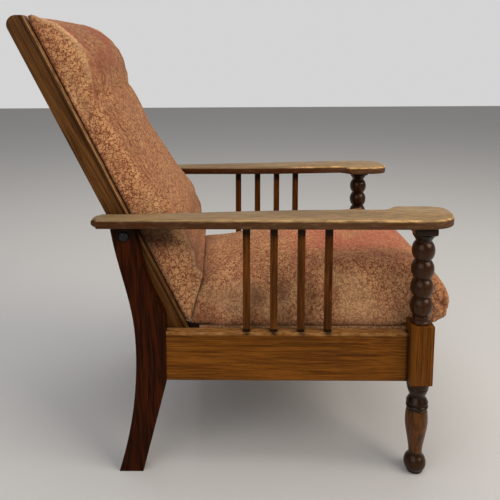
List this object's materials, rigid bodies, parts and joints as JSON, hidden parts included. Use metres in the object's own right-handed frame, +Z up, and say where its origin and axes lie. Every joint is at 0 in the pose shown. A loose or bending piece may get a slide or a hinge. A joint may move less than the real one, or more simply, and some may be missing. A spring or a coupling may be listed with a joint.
{
  "type": "reclining armchair",
  "caption": "Mission style oak reclining armchair: the upholstered back turns on bolts at the rear legs and its foot carries the sliding upholstered seat.",
  "frame": {"origin": "centre of the chair's footprint box at floor level, in the upright position", "axes": "+Z up, the chair faces -Y, the sitter's right hand is at -X"},
  "size_m": [0.6546, 0.946, 1.0081],
  "materials": {
    "oak_turned": "dark french polish, glossy on the turnings and worn golden on the square block",
    "oak_dark": "very dark red-brown polish",
    "oak_rail": "golden-brown polished oak with a strong grain along it",
    "oak_arm": "polished oak with a worn, greyed top and golden arrises",
    "oak_spindle": "mid-brown polished oak",
    "oak_stile": "red-brown polished oak with dark streaks",
    "frame_wood": "unpolished oak",
    "webbing": "woven jute",
    "lining": "plain dark cotton",
    "seat_cover": "rust-coloured woven chenille",
    "back_cover": "rust-coloured woven chenille",
    "black_iron": "black japanned iron",
    "steel": "dull mild steel"
  },
  "bodies": {
    "frame": {"arm_left": "oak_arm", "arm_right": "oak_arm", "front_leg_left": "oak_turned", "front_leg_right": "oak_turned", "front_rail": "oak_rail", "pivot_bolts": "black_iron", "pivot_nuts": "black_iron", "pivot_washers": "black_iron", "rear_leg_left": "oak_dark", "rear_leg_right": "oak_dark", "rear_rail": "oak_rail", "seat_runner_left": "frame_wood", "seat_runner_right": "frame_wood", "side_rail_left": "oak_rail", "side_rail_right": "oak_rail", "spindle_1_left": "oak_spindle", "spindle_1_right": "oak_spindle", "spindle_2_left": "oak_spindle", "spindle_2_right": "oak_spindle", "spindle_3_left": "oak_spindle", "spindle_3_right": "oak_spindle", "spindle_4_left": "oak_spindle", "spindle_4_right": "oak_spindle"},
    "back": {"back_bottom_rail": "frame_wood", "back_cushion": "back_cover", "back_lining": "lining", "back_middle_rail": "frame_wood", "back_stile_left": "oak_stile", "back_stile_right": "oak_stile", "back_top_rail": "frame_wood", "back_webbing": "webbing", "hinge_screws": "steel"},
    "seat": {"hinge_bracket_left": "steel", "hinge_bracket_right": "steel", "seat_cushion": "seat_cover", "seat_front_rail": "frame_wood", "seat_rear_rail": "frame_wood", "seat_side_rail_left": "frame_wood", "seat_side_rail_right": "frame_wood", "seat_webbing": "webbing"}
  },
  "joints": [
    {"name": "back_recline", "type": "hinge", "parent": "frame", "child": "back", "pos_m": [0, 0.24249, 0.543], "axis": [-1, 0, 0], "range_deg": [0, 12]},
    {"name": "seat_hinge", "type": "hinge", "parent": "back", "child": "seat", "pos_m": [0, 0.13091, 0.308], "axis": [1, 0, 0], "range_deg": [0, 14.5]}
  ],
  "couplings": [
    {"joint": "seat_hinge", "follows": "back_recline", "ratio": 1.205}
  ]
}
